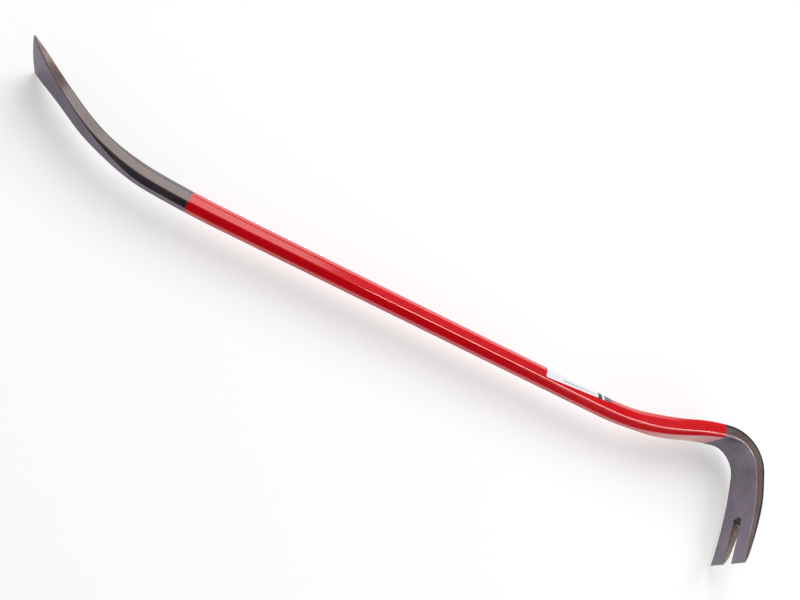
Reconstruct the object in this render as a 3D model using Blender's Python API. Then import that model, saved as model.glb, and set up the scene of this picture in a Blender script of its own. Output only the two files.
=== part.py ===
# Gooseneck wrecking bar lying on its side: one steel forging with a chisel and a nail claw,
# a red paint coat on its middle, and a paper label stuck round the coat.
# Metres. X runs along the shank from chisel to claw, Y is the way the gooseneck rises,
# Z is up and square to the plane in which the bar is bent. The origin is under the
# middle of the bar's box, at the height of its lowest point.
import math

import bmesh
import bpy
import numpy as np
from mathutils import Matrix

# Bar stock, a regular octagon
BAR_FLATS = 0.018
STOCK_LEG = BAR_FLATS * (1.0 - math.tan(math.pi / 8.0)) / 2.0

# Spine, from the chisel's edge to the tips of the tines. The shank is dead straight up to
# the label and bows a hair's breadth from there to the rise.
CHISEL_STRAIGHT = 0.0640
CHISEL_RADIUS = 0.1920
CHISEL_TURN = math.radians(26.2)
EASE_RADIUS = 0.9200
EASE_TURN = math.radians(4.2)
SHANK_STRAIGHT = 0.3180
BOW_RADIUS = 40.0
BOW_LENGTH = 0.0638
RISE_RADIUS = 0.2541
RISE_TURN = math.radians(21.41)
CREST_RADIUS = 0.1930
CREST_TURN = math.radians(11.6)
HOOK_RADIUS = 0.0311
HOOK_TURN = math.radians(90.2)
CLAW_RADIUS = 0.3140
CLAW_TURN = math.radians(11.0)
CLAW_STRAIGHT = 0.0298

# Forging schedule of the chisel, one row for each measured section: distance from the edge,
# full width, thickness, corner leg on the front (convex) side, corner leg on the back side
CHISEL_SECTIONS = (
    (0.000, 0.0615, 0.0012, 0.0003, 0.0003),
    (0.012, 0.0515, 0.0050, 0.0008, 0.0004),
    (0.028, 0.0392, 0.0074, 0.0009, 0.0005),
    (0.048, 0.0300, 0.0091, 0.0009, 0.0008),
    (0.072, 0.0260, 0.0103, 0.0010, 0.0012),
    (0.100, 0.0205, 0.0124, 0.0026, 0.0018),
    (0.145, BAR_FLATS, BAR_FLATS, STOCK_LEG, STOCK_LEG),
)
EDGE_BOW = 0.0018

# Forging schedule of the gooseneck and claw: distance from the tine tips, full width,
# thickness, corner leg on the front (mouth) side, and on the back side the corner's legs
# across the width and across the thickness
CLAW_SECTIONS = (
    (0.000, 0.0515, 0.0008, 0.0003, 0.0003, 0.0003),
    (0.004, 0.0500, 0.0028, 0.0004, 0.0004, 0.0006),
    (0.010, 0.0485, 0.0047, 0.0004, 0.0006, 0.0010),
    (0.028, 0.0465, 0.0073, 0.0005, 0.0012, 0.0030),
    (0.048, 0.0454, 0.0090, 0.0005, 0.0015, 0.0040),
    (0.070, 0.0428, 0.0105, 0.0006, 0.0015, 0.0040),
    (0.094, 0.0387, 0.0111, 0.0006, 0.0015, 0.0040),
    (0.125, 0.0380, 0.0114, 0.0010, 0.0017, 0.0040),
    (0.145, 0.0385, 0.0132, 0.0020, 0.0022, 0.0040),
    (0.165, 0.0360, 0.0146, 0.0028, 0.0028, 0.0041),
    (0.190, 0.0306, 0.0160, 0.0038, 0.0036, 0.0044),
    (0.215, 0.0238, 0.0176, 0.0044, 0.0046, 0.0049),
    (0.240, BAR_FLATS, BAR_FLATS, STOCK_LEG, STOCK_LEG, STOCK_LEG),
)
# Over this length of the claw the thickness comes off the back alone
CLAW_FACE_LENGTH = 0.062

# Nail slot between the tines
SLOT_MOUTH = 0.0119
SLOT_ROOT = 0.0104
SLOT_SIDE_LENGTH = 0.0441
SLOT_ROOT_RISE = 0.0027
SLOT_ROOT_SLANT = math.radians(24.0)

# Paint coat and paper label. The gap is what two touching pieces keep between them.
FIT_GAP = 0.0003
COAT_THICKNESS = 0.0003
COAT_FROM_CHISEL_BEND = 0.0344
COAT_PAST_RISE = 0.0298
LABEL_THICKNESS = 0.0002
LABEL_LENGTH = 0.0690
LABEL_TO_TIPS = 0.2668
# The label goes round the back of the bar and laps onto its top and its under flat. It sits
# askew: from its chisel end to its claw end the top lap shrinks and the under lap grows.
LABEL_TOP_LAP = 0.0054
LABEL_UNDER_LAP = 0.0010
LABEL_SKEW = 0.0051

# Finishes
STEEL_COLOUR = (0.25, 0.22, 0.22)
STEEL_ROUGHNESS = 0.35
RED_COLOUR = (0.62, 0.02, 0.03)
RED_ROUGHNESS = 0.2
PAPER_COLOUR = (0.90, 0.90, 0.91)
PAPER_ROUGHNESS = 0.45

# Spacing of the sections along the bar, and points on the small arcs of the cutters
BLADE_STEP = 0.0032
BEND_STEP = 0.0028
SHANK_STEP = 0.0300
ARC_POINTS = 15
SHARP_EDGE = math.radians(20.0)

SPINE = (
    (CHISEL_STRAIGHT, 0.0),
    (CHISEL_RADIUS * CHISEL_TURN, 1.0 / CHISEL_RADIUS),
    (EASE_RADIUS * EASE_TURN, 1.0 / EASE_RADIUS),
    (SHANK_STRAIGHT, 0.0),
    (BOW_LENGTH, 1.0 / BOW_RADIUS),
    (RISE_RADIUS * RISE_TURN, 1.0 / RISE_RADIUS),
    (CREST_RADIUS * CREST_TURN, -1.0 / CREST_RADIUS),
    (HOOK_RADIUS * HOOK_TURN, -1.0 / HOOK_RADIUS),
    (CLAW_RADIUS * CLAW_TURN, -1.0 / CLAW_RADIUS),
    (CLAW_STRAIGHT, 0.0),
)
SPINE_LENGTH = sum(length for length, bend in SPINE)
SHANK_FROM = sum(length for length, bend in SPINE[:3])
SHANK_TO = SHANK_FROM + SHANK_STRAIGHT
RISE_FROM = SHANK_TO + BOW_LENGTH
COAT_FROM = SHANK_FROM - COAT_FROM_CHISEL_BEND
COAT_TO = RISE_FROM + RISE_RADIUS * RISE_TURN + COAT_PAST_RISE
LABEL_FROM = SPINE_LENGTH - LABEL_TO_TIPS - LABEL_LENGTH


def spine_frame(s):
    """Point and heading of the spine at distance s from the chisel's edge.

    Each stretch is a straight or an arc; before the first one the spine runs on straight.
    """
    x, y, heading = 0.0, 0.0, -(CHISEL_TURN + EASE_TURN)
    start = 0.0
    for length, bend in SPINE:
        last = start + length >= SPINE_LENGTH - 1e-9
        run = s - start if last else min(s - start, length)
        if bend == 0.0:
            x += run * math.cos(heading)
            y += run * math.sin(heading)
        else:
            end = heading + bend * run
            x += (math.sin(end) - math.sin(heading)) / bend
            y -= (math.cos(end) - math.cos(heading)) / bend
            heading = end
        start += length
        if s <= start:
            break
    return x, y, heading


def smooth_through(rows, distance):
    """Values of a schedule at a distance: a monotone cubic through its rows."""
    table = np.array(rows)
    knots = table[:, 0]
    values = table[:, 1:]
    distance = min(max(distance, knots[0]), knots[-1])
    steps = np.diff(knots)
    slopes = np.diff(values, axis=0) / steps[:, None]
    tangents = np.zeros_like(values)
    tangents[0] = slopes[0]
    for k in range(1, len(knots) - 1):
        before, after = slopes[k - 1], slopes[k]
        weight_a = 2.0 * steps[k] + steps[k - 1]
        weight_b = steps[k] + 2.0 * steps[k - 1]
        same = before * after > 0.0
        safe_before = np.where(same, before, 1.0)
        safe_after = np.where(same, after, 1.0)
        mean = (weight_a + weight_b) / (weight_a / safe_before + weight_b / safe_after)
        tangents[k] = np.where(same, mean, 0.0)
    k = min(int(np.searchsorted(knots, distance, side="right")) - 1, len(steps) - 1)
    t = (distance - knots[k]) / steps[k]
    ends = values[k] * (1.0 + 2.0 * t) * (1.0 - t) ** 2 + values[k + 1] * t * t * (3.0 - 2.0 * t)
    turns = tangents[k] * t * (1.0 - t) ** 2 + tangents[k + 1] * t * t * (t - 1.0)
    return ends + steps[k] * turns


def inset_legs(across, along, inset):
    """Legs of a chamfer after its section is drawn in by inset on every side."""
    slant = math.hypot(across, along)
    new_across = across - inset * (1.0 - (slant - across) / along)
    new_along = along - inset * (1.0 - (slant - along) / across)
    return max(new_across, 0.0001), max(new_along, 0.0001)


def section_sizes(s):
    """Half width, front and back offsets from the spine, and the corner legs at s."""
    if s < SPINE_LENGTH / 2.0:
        width, thickness, front_leg, back_leg = smooth_through(CHISEL_SECTIONS, s)
        front = thickness / 2.0
        back_legs = (back_leg, back_leg)
    else:
        distance = SPINE_LENGTH - s
        width, thickness, front_leg, back_z, back_n = smooth_through(CLAW_SECTIONS, distance)
        front = smooth_through(CLAW_SECTIONS, max(distance, CLAW_FACE_LENGTH))[1] / 2.0
        back_legs = (back_z, back_n)
    return width / 2.0, front, thickness - front, (front_leg, front_leg), back_legs


def section(s, inset=0.0):
    """The eight corners of the bar's section at s, drawn in by inset, as (x, y, z) points.

    They start on the front face above the mid-plane and go over the top to the back.
    """
    half, front, back, front_legs, back_legs = section_sizes(s)
    front_z, front_n = inset_legs(*front_legs, inset)
    back_z, back_n = inset_legs(*back_legs, inset)
    half, front, back = half - inset, front - inset, back - inset
    outline = (
        (-front, half - front_z), (-front + front_n, half),
        (back - back_n, half), (back, half - back_z),
        (back, -half + back_z), (back - back_n, -half),
        (-front + front_n, -half), (-front, -half + front_z),
    )
    x, y, heading = spine_frame(s)
    return [(x - math.sin(heading) * n, y + math.cos(heading) * n, z) for n, z in outline]


def places(start, end, step):
    """Evenly spaced distances from start to end, no further apart than step."""
    count = max(2, int(math.ceil((end - start) / step)) + 1)
    return list(np.linspace(start, end, count))


def bar_places(start, end):
    """Distances of the sections between start and end: close on the bends, far on the shank."""
    zones = (
        (0.0, CHISEL_SECTIONS[-1][0], BLADE_STEP),
        (CHISEL_SECTIONS[-1][0], SHANK_FROM, 3.0 * BEND_STEP),
        (SHANK_FROM, SHANK_TO, SHANK_STEP),
        (SHANK_TO, RISE_FROM, SHANK_STEP),
        (RISE_FROM, SPINE_LENGTH - CLAW_SECTIONS[-1][0], 3.0 * BEND_STEP),
        (SPINE_LENGTH - CLAW_SECTIONS[-1][0], SPINE_LENGTH, BEND_STEP),
    )
    found = [start, end]
    for zone_start, zone_end, step in zones:
        low, high = max(zone_start, start), min(zone_end, end)
        if high > low:
            found += places(low, high, step)
    found.sort()
    kept = [found[0]]
    for s in found[1:]:
        if s - kept[-1] > BEND_STEP / 8.0:
            kept.append(s)
    kept[-1] = end
    return kept


def bridge(mesh, first, second):
    """Quads between two rings of vertices."""
    count = len(first)
    for k in range(count):
        after = (k + 1) % count
        mesh.faces.new((first[k], first[after], second[after], second[k]))


def new_object(name, mesh, colour=PAPER_COLOUR, roughness=PAPER_ROUGHNESS, metallic=0.0):
    """Finish a bmesh as an object of its own with a Principled material."""
    bmesh.ops.recalc_face_normals(mesh, faces=mesh.faces)
    data = bpy.data.meshes.new(name)
    mesh.to_mesh(data)
    mesh.free()
    data.shade_smooth()
    data.set_sharp_from_angle(angle=SHARP_EDGE)
    material = bpy.data.materials.new(name)
    material.use_nodes = True
    shader = material.node_tree.nodes["Principled BSDF"]
    shader.inputs["Base Color"].default_value = (*colour, 1.0)
    shader.inputs["Roughness"].default_value = roughness
    shader.inputs["Metallic"].default_value = metallic
    data.materials.append(material)
    thing = bpy.data.objects.new(name, data)
    bpy.context.scene.collection.objects.link(thing)
    return thing


def cut(target, mesh, name):
    """Take a closed cutter away from the target."""
    cutter = new_object(name, mesh)
    cutter.hide_render = True
    cutter.display_type = "WIRE"
    boolean = target.modifiers.new(name, "BOOLEAN")
    boolean.operation = "DIFFERENCE"
    boolean.solver = "EXACT"
    boolean.object = cutter
    return cutter


def forged_bar():
    """The steel: rings of sections from the chisel's edge to the tine tips, lower under the coat."""
    relief = COAT_THICKNESS + FIT_GAP
    mesh = bmesh.new()
    rings = []
    for start, end, inset in (
        (-EDGE_BOW, COAT_FROM - FIT_GAP, 0.0),
        (COAT_FROM - FIT_GAP, COAT_TO + FIT_GAP, relief),
        (COAT_TO + FIT_GAP, SPINE_LENGTH, 0.0),
    ):
        for s in bar_places(start, end):
            rings.append([mesh.verts.new(point) for point in section(s, inset)])
    for first, second in zip(rings[:-1], rings[1:]):
        bridge(mesh, first, second)
    mesh.faces.new(rings[0])
    mesh.faces.new(rings[-1])
    return new_object("forged_bar", mesh, STEEL_COLOUR, STEEL_ROUGHNESS, metallic=1.0)


def prism_between(lower, upper):
    """Closed body between two outlines with the same number of points."""
    mesh = bmesh.new()
    first = [mesh.verts.new(point) for point in lower]
    second = [mesh.verts.new(point) for point in upper]
    bridge(mesh, first, second)
    mesh.faces.new(first)
    mesh.faces.new(second)
    return mesh


def edge_cutter():
    """What the grinding takes off the chisel's corners, so that its edge bows outwards.

    The edge is a parabola through both corners; the cutter runs on past them by a share.
    """
    half = section_sizes(0.0)[0]
    past = 1.15
    before = -3.0 * EDGE_BOW
    above = 2.0 * CHISEL_SECTIONS[1][2]
    arc = [(-EDGE_BOW * (1.0 - t * t), half * t) for t in np.linspace(-past, past, ARC_POINTS)]
    outline = [*arc, (before, half * past), (before, -half * past)]
    x, y, heading = spine_frame(0.0)
    along = np.array([math.cos(heading), math.sin(heading), 0.0])
    across = np.array([-math.sin(heading), math.cos(heading), 0.0])
    base = np.array([x, y, 0.0])
    sides = []
    for n in (-above, above):
        sides.append([base + along * d + across * n + np.array([0.0, 0.0, z]) for d, z in outline])
    return prism_between(*sides)


def slot_outline(root_shift):
    """Outline of the nail slot as (distance from the tips, z), with its root moved by root_shift."""
    beyond = SLOT_MOUTH
    widening = (SLOT_MOUTH - SLOT_ROOT) / SLOT_SIDE_LENGTH
    mouth_half = (SLOT_MOUTH + widening * beyond) / 2.0
    points = [(-beyond, mouth_half)]
    for t in np.linspace(1.0, -1.0, ARC_POINTS):
        distance = SLOT_SIDE_LENGTH + SLOT_ROOT_RISE * (1.0 - t * t) - root_shift
        points.append((distance, t * SLOT_ROOT / 2.0))
    points.append((-beyond, -mouth_half))
    return points


def slot_cutter():
    """Cutter of the nail slot, square to the claw's face, its root slanting through the steel."""
    tip_x, tip_y, heading = spine_frame(SPINE_LENGTH)
    along = np.array([-math.cos(heading), -math.sin(heading), 0.0])
    across = np.array([-math.sin(heading), math.cos(heading), 0.0])
    front = section_sizes(SPINE_LENGTH)[1]
    base = np.array([tip_x, tip_y, 0.0]) - across * front
    below, above = 2.0 * front, 3.0 * front
    sides = []
    for n in (-below, above):
        shift = n * math.tan(SLOT_ROOT_SLANT)
        sides.append([base + along * d + across * n + np.array([0.0, 0.0, z])
                      for d, z in slot_outline(shift)])
    return prism_between(*sides)


def paint_coat():
    """The red coat: a sleeve that follows the shank from the chisel's bend to the gooseneck."""
    mesh = bmesh.new()
    outer, inner = [], []
    for s in bar_places(COAT_FROM, COAT_TO):
        outer.append([mesh.verts.new(point) for point in section(s)])
        inner.append([mesh.verts.new(point) for point in section(s, COAT_THICKNESS)])
    for k in range(len(outer) - 1):
        bridge(mesh, outer[k], outer[k + 1])
        bridge(mesh, inner[k], inner[k + 1])
    bridge(mesh, outer[0], inner[0])
    bridge(mesh, outer[-1], inner[-1])
    return new_object("red_paint_coat", mesh, RED_COLOUR, RED_ROUGHNESS)


def wrap_path(s, lift, top_lap, under_lap):
    """Points round the back of the section at s, raised by lift.

    They start on the top flat, top_lap from its back corner, and end on the under flat,
    under_lap from its back corner.
    """
    corners = [np.array(point) for point in section(s, -lift)]
    top, path, under = corners[1], corners[2:6], corners[6]
    to_front = (top - path[0]) / np.linalg.norm(top - path[0])
    return [path[0] + to_front * top_lap, *path, path[-1] + to_front * under_lap]


def paper_label():
    """The label: a thin closed sheet wrapped round the back of the coat, a little askew."""
    mesh = bmesh.new()
    inside, outside = [], []
    for s in places(LABEL_FROM, LABEL_FROM + LABEL_LENGTH, 2.0 * BEND_STEP):
        shift = LABEL_SKEW * (s - LABEL_FROM) / LABEL_LENGTH
        laps = (LABEL_TOP_LAP - shift, LABEL_UNDER_LAP + shift)
        inside.append([mesh.verts.new(p) for p in wrap_path(s, FIT_GAP, *laps)])
        outside.append([mesh.verts.new(p) for p in wrap_path(s, FIT_GAP + LABEL_THICKNESS, *laps)])
    for k in range(len(inside) - 1):
        bridge(mesh, inside[k] + outside[k][::-1], inside[k + 1] + outside[k + 1][::-1])
    for row_in, row_out in ((inside[0], outside[0]), (inside[-1], outside[-1])):
        for k in range(len(row_in) - 1):
            mesh.faces.new((row_in[k], row_in[k + 1], row_out[k + 1], row_out[k]))
    return new_object("paper_label", mesh, PAPER_COLOUR, PAPER_ROUGHNESS)


def centre_on_box(things, bar):
    """Move everything so that the origin lies under the middle of the finished bar's box."""
    finished = bar.evaluated_get(bpy.context.evaluated_depsgraph_get())
    points = np.array([vertex.co[:] for vertex in finished.data.vertices])
    low, high = points.min(axis=0), points.max(axis=0)
    shift = (-(low[0] + high[0]) / 2.0, -(low[1] + high[1]) / 2.0, -low[2])
    for thing in things:
        thing.data.transform(Matrix.Translation(shift))


for old in list(bpy.data.objects):
    bpy.data.objects.remove(old, do_unlink=True)

bar = forged_bar()
cutters = [cut(bar, edge_cutter(), "edge_grinding"), cut(bar, slot_cutter(), "nail_slot")]
centre_on_box([bar, paint_coat(), paper_label(), *cutters], bar)
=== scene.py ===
import math

import bmesh
import bpy
import numpy as np
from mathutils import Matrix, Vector


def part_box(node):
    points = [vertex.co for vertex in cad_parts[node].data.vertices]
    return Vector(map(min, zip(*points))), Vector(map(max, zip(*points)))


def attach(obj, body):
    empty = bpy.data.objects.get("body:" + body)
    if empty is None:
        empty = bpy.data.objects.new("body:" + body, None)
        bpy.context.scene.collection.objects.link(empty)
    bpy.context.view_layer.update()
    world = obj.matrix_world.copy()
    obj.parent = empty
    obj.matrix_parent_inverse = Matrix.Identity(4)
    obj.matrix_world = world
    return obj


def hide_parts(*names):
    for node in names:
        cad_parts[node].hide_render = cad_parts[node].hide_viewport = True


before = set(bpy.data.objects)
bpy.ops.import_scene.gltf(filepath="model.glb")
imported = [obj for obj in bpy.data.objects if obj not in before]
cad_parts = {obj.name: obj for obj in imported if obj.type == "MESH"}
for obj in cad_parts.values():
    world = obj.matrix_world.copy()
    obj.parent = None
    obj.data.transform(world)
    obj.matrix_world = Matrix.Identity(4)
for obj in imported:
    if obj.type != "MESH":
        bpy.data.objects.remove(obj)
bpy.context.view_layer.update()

# The table: a broad white top on which the bar lies. Seen straight or in a mirror it is
# white paint under a veil of full white, thin round the bar, so that its shadow shows, and
# whole far out. The bar is lit by it as by plain white card.
TABLE_SIZE = 60.0
TABLE_CARD = 0.80
TABLE_WHITE = 0.40
TABLE_NEAR = 1.2
TABLE_FAR = 4.0


def node(tree, kind, **settings):
    """A shader node with its properties and its inputs set by name."""
    made = tree.nodes.new(kind)
    for name, value in settings.items():
        if hasattr(made, name):
            setattr(made, name, value)
        else:
            made.inputs[name.replace("_", " ")].default_value = value
    return made


def seen_straight(tree):
    """1 for rays from the eye, a mirror or a glass, 0 for those that carry light."""
    path = node(tree, "ShaderNodeLightPath")
    both = node(tree, "ShaderNodeMath", operation="MAXIMUM")
    all_three = node(tree, "ShaderNodeMath", operation="MAXIMUM")
    tree.links.new(path.outputs["Is Camera Ray"], both.inputs[0])
    tree.links.new(path.outputs["Is Glossy Ray"], both.inputs[1])
    tree.links.new(both.outputs[0], all_three.inputs[0])
    tree.links.new(path.outputs["Is Transmission Ray"], all_three.inputs[1])
    return all_three.outputs[0]


table_paint = bpy.data.materials.new("table_top")
table_paint.use_nodes = True
tree = table_paint.node_tree
tree.nodes.clear()
card = node(tree, "ShaderNodeBsdfDiffuse", Color=(TABLE_CARD, TABLE_CARD, TABLE_CARD, 1.0))
paint = node(tree, "ShaderNodeBsdfDiffuse", Color=(1.0, 1.0, 1.0, 1.0))
glow = node(tree, "ShaderNodeEmission", Strength=1.0)
seen = node(tree, "ShaderNodeMixShader")
place = node(tree, "ShaderNodeTexCoord")
from_middle = node(tree, "ShaderNodeVectorMath", operation="LENGTH")
white = node(tree, "ShaderNodeMapRange", interpolation_type="SMOOTHSTEP",
             From_Min=TABLE_NEAR, From_Max=TABLE_FAR, To_Min=TABLE_WHITE, To_Max=1.0)
either = node(tree, "ShaderNodeMixShader")
output = node(tree, "ShaderNodeOutputMaterial")
tree.links.new(place.outputs["Object"], from_middle.inputs[0])
tree.links.new(from_middle.outputs["Value"], white.inputs["Value"])
tree.links.new(white.outputs["Result"], seen.inputs["Fac"])
tree.links.new(paint.outputs[0], seen.inputs[1])
tree.links.new(glow.outputs[0], seen.inputs[2])
tree.links.new(seen_straight(tree), either.inputs["Fac"])
tree.links.new(card.outputs[0], either.inputs[1])
tree.links.new(seen.outputs[0], either.inputs[2])
tree.links.new(either.outputs[0], output.inputs["Surface"])

reach = TABLE_SIZE / 2.0
table_mesh = bpy.data.meshes.new("table_top")
table_mesh.from_pydata(
    [(-reach, -reach, 0.0), (reach, -reach, 0.0), (reach, reach, 0.0), (-reach, reach, 0.0)],
    [], [(0, 1, 2, 3)])
table_mesh.materials.append(table_paint)
table = bpy.data.objects.new("table_top", table_mesh)
bpy.context.scene.collection.objects.link(table)

# The light: a broad silk behind the bar, which gives the plain level and the soft shadow,
# and a small soft box in front of the claw. Cards that only show in polished surfaces hang
# behind the chisel, over the claw and in front of it, in a dark tent. The room is white.
BAR_MIDDLE = (0.0, 0.0, 0.0)
SILK = {"place": (0.30, 2.20, 2.72), "aim": BAR_MIDDLE, "size": (2.80, 3.00), "radiance": 4.0}
SOFT_BOX = {"place": (0.95, -0.70, 0.50), "aim": (0.30, 0.0, 0.0), "size": (0.80, 0.60),
            "radiance": 1.6}
CHISEL_CARD = {"place": (-1.35, 2.00, 2.83), "aim": BAR_MIDDLE, "size": (2.40, 3.70),
               "radiance": 3.3}
CLAW_STRIP = {"place": (0.74, -0.10, 1.15), "aim": (0.74, -0.10, 0.0), "size": (1.25, 0.50),
              "radiance": 14.0}
HOOK_CARD = {"place": (1.75, -1.96, 1.15), "aim": (1.75, -1.96, 0.0), "size": (1.70, 0.46),
             "radiance": 7.5}
ROOM_LEVEL = 0.40
TENT_RADIUS = 9.0
TENT_PANELS = 48
TENT_LIGHT_SIDE = (-0.65, 0.62, 0.45)
TENT_DARK = 0.01
TENT_LIGHT = 0.34
TENT_DARK_UP_TO = -0.3


def hang_light(name, place, aim, size, radiance):
    """A soft rectangular lamp at a place, turned to its aim, of a given radiance."""
    lamp = bpy.data.lights.new(name, "AREA")
    lamp.shape = "RECTANGLE"
    lamp.size, lamp.size_y = size
    lamp.energy = radiance * math.pi * size[0] * size[1]
    hung = bpy.data.objects.new(name, lamp)
    hung.location = place
    hung.rotation_euler = (Vector(aim) - Vector(place)).to_track_quat("-Z", "Y").to_euler()
    bpy.context.scene.collection.objects.link(hung)
    return hung


for lamp in (hang_light("silk", **SILK), hang_light("soft_box", **SOFT_BOX)):
    lamp.visible_glossy = False
for lamp in (hang_light("chisel_card", **CHISEL_CARD), hang_light("claw_strip", **CLAW_STRIP),
             hang_light("hook_card", **HOOK_CARD)):
    lamp.visible_diffuse = False

tent_cloth = bpy.data.materials.new("tent_cloth")
tent_cloth.use_nodes = True
tree = tent_cloth.node_tree
tree.nodes.clear()
place = node(tree, "ShaderNodeTexCoord")
direction = node(tree, "ShaderNodeVectorMath", operation="NORMALIZE")
towards = node(tree, "ShaderNodeVectorMath", operation="DOT_PRODUCT")
towards.inputs[1].default_value = TENT_LIGHT_SIDE
level = node(tree, "ShaderNodeMapRange", From_Min=TENT_DARK_UP_TO, From_Max=1.0,
             To_Min=TENT_DARK, To_Max=TENT_LIGHT)
cloth = node(tree, "ShaderNodeEmission")
output = node(tree, "ShaderNodeOutputMaterial")
tree.links.new(place.outputs["Object"], direction.inputs[0])
tree.links.new(direction.outputs["Vector"], towards.inputs[0])
tree.links.new(towards.outputs["Value"], level.inputs["Value"])
tree.links.new(level.outputs["Result"], cloth.inputs["Strength"])
tree.links.new(cloth.outputs[0], output.inputs["Surface"])

tent_mesh = bpy.data.meshes.new("dark_tent")
work = bmesh.new()
bmesh.ops.create_uvsphere(work, u_segments=TENT_PANELS, v_segments=TENT_PANELS // 2,
                          radius=TENT_RADIUS)
work.to_mesh(tent_mesh)
work.free()
tent_mesh.materials.append(tent_cloth)
tent = bpy.data.objects.new("dark_tent", tent_mesh)
tent.visible_camera = False
tent.visible_diffuse = False
tent.visible_transmission = False
tent.visible_shadow = False
bpy.context.scene.collection.objects.link(tent)

room = bpy.data.worlds.new("room")
room.use_nodes = True
tree = room.node_tree
tree.nodes.clear()
even = node(tree, "ShaderNodeBackground", Strength=ROOM_LEVEL)
walls = node(tree, "ShaderNodeBackground", Strength=1.0)
either = node(tree, "ShaderNodeMixShader")
output = node(tree, "ShaderNodeOutputWorld")
for background in (even, walls):
    background.inputs["Color"].default_value = (1.0, 1.0, 1.0, 1.0)
tree.links.new(seen_straight(tree), either.inputs["Fac"])
tree.links.new(even.outputs[0], either.inputs[1])
tree.links.new(walls.outputs[0], either.inputs[2])
tree.links.new(either.outputs[0], output.inputs["Surface"])
bpy.context.scene.world = room
bpy.context.scene.view_settings.view_transform = "Standard"

# The camera: close above the middle of the bar, rolled so that the bar falls from the
# chisel at the upper left to the claw at the lower right.
CAMERA_PLACE = (-0.158676, -0.339268, 0.838149)
CAMERA_DEGREES = (18.06536, -18.63616, 21.24951)
CAMERA_LENS = 45.0
CAMERA_FILM = 36.0
CAMERA_NEAREST = 0.01

eye = bpy.data.cameras.new("camera")
eye.lens = CAMERA_LENS
eye.sensor_width = CAMERA_FILM
eye.clip_start = CAMERA_NEAREST
camera = bpy.data.objects.new("camera", eye)
camera.location = CAMERA_PLACE
camera.rotation_euler = [math.radians(turn) for turn in CAMERA_DEGREES]
bpy.context.scene.collection.objects.link(camera)
bpy.context.scene.camera = camera

# The forging: one length of octagonal steel bar, drawn out and flared to a chisel at one
# end, bent to a gooseneck at the other, flattened there and slotted to a nail claw. The
# broad faces keep the dark forged skin, the narrow sides are ground and brown from the heat.
BAR_FLATS = 0.018
STOCK_LEG = BAR_FLATS * (1.0 - math.tan(math.pi / 8.0)) / 2.0

# Lengths are in metres, here as everywhere, and the turns of the arcs in degrees
CHISEL_TURN = 26.2
EASE_TURN = 4.2
SHANK_BOW_RADIUS = 40.0


def arc(radius, degrees):
    """Length and bend of an arc: the radius times its turn, and one over the radius."""
    return radius * math.radians(abs(degrees)), math.copysign(1.0 / radius, degrees)


# Spine from the chisel's edge to the tine tips, as lengths and bends
SPINE = (
    (0.0640, 0.0),
    arc(0.1920, CHISEL_TURN),
    arc(0.9200, EASE_TURN),
    (0.3180, 0.0),
    (0.0638, 1.0 / SHANK_BOW_RADIUS),
    arc(0.2541, 21.41),
    arc(0.1930, -11.6),
    arc(0.0311, -90.2),
    arc(0.3140, -11.0),
    (0.0298, 0.0),
)
SPINE_LENGTH = sum(length for length, bend in SPINE)
SHANK_FROM = sum(length for length, bend in SPINE[:3])
CREST_FROM = sum(length for length, bend in SPINE[:6])

# Sections measured from the chisel's edge: distance, width, thickness, front leg, back leg
CHISEL_SECTIONS = (
    (0.000, 0.0615, 0.0012, 0.0003, 0.0003),
    (0.012, 0.0515, 0.0050, 0.0008, 0.0004),
    (0.028, 0.0392, 0.0074, 0.0009, 0.0005),
    (0.048, 0.0300, 0.0091, 0.0009, 0.0008),
    (0.072, 0.0260, 0.0103, 0.0010, 0.0012),
    (0.100, 0.0205, 0.0124, 0.0026, 0.0018),
    (0.145, BAR_FLATS, BAR_FLATS, STOCK_LEG, STOCK_LEG),
)
# Sections measured from the tine tips, with the back corner's legs across and along
CLAW_SECTIONS = (
    (0.000, 0.0515, 0.0008, 0.0003, 0.0003, 0.0003),
    (0.004, 0.0500, 0.0028, 0.0004, 0.0004, 0.0006),
    (0.010, 0.0485, 0.0047, 0.0004, 0.0006, 0.0010),
    (0.028, 0.0465, 0.0073, 0.0005, 0.0012, 0.0030),
    (0.048, 0.0454, 0.0090, 0.0005, 0.0015, 0.0040),
    (0.070, 0.0428, 0.0105, 0.0006, 0.0015, 0.0040),
    (0.094, 0.0387, 0.0111, 0.0006, 0.0015, 0.0040),
    (0.125, 0.0380, 0.0114, 0.0010, 0.0017, 0.0040),
    (0.145, 0.0385, 0.0132, 0.0020, 0.0022, 0.0040),
    (0.165, 0.0360, 0.0146, 0.0028, 0.0028, 0.0041),
    (0.190, 0.0306, 0.0160, 0.0038, 0.0036, 0.0044),
    (0.215, 0.0238, 0.0176, 0.0044, 0.0046, 0.0049),
    (0.240, BAR_FLATS, BAR_FLATS, STOCK_LEG, STOCK_LEG, STOCK_LEG),
)
CLAW_FACE_LENGTH = 0.062
EDGE_BOW = 0.0018
BOW_FADES = 0.012
NOSE = 0.0006
NOSE_THINNEST = 0.3
CORNER_ROUND = 0.0009
LEG_LEAST = 0.0001

# Every corner of a section is an arc of the arris' radius that takes at most its share of
# a flat, and every flat has points close to its arcs, which keep it flat up to them.
ARRIS = 0.0016
ARRIS_MOST = 0.45
SUPPORT = 0.00045
SUPPORT_MOST = 0.25
FLAT_POINTS = (9, 3, 6, 3, 9)
ARC_POINTS = 6

SLOT_MOUTH = 0.0119
SLOT_ROOT = 0.0104
SLOT_SIDE = 0.0441
SLOT_RISE = 0.0027
SLOT_SLANT = math.radians(24.0)
SLOT_EASE = 0.0005
SLOT_EASE_MOST = 0.3
SLOT_END_RUN = 0.0012
# Spread of the painted shade along the slot's wall where its sides meet the root
ROOT_SHADE_SPREAD = 0.0005
SLANT_FADES = 0.026

COAT_FROM = SHANK_FROM - 0.0344
COAT_TO = CREST_FROM + 0.0298
UNDER_COAT = 0.0005


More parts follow.
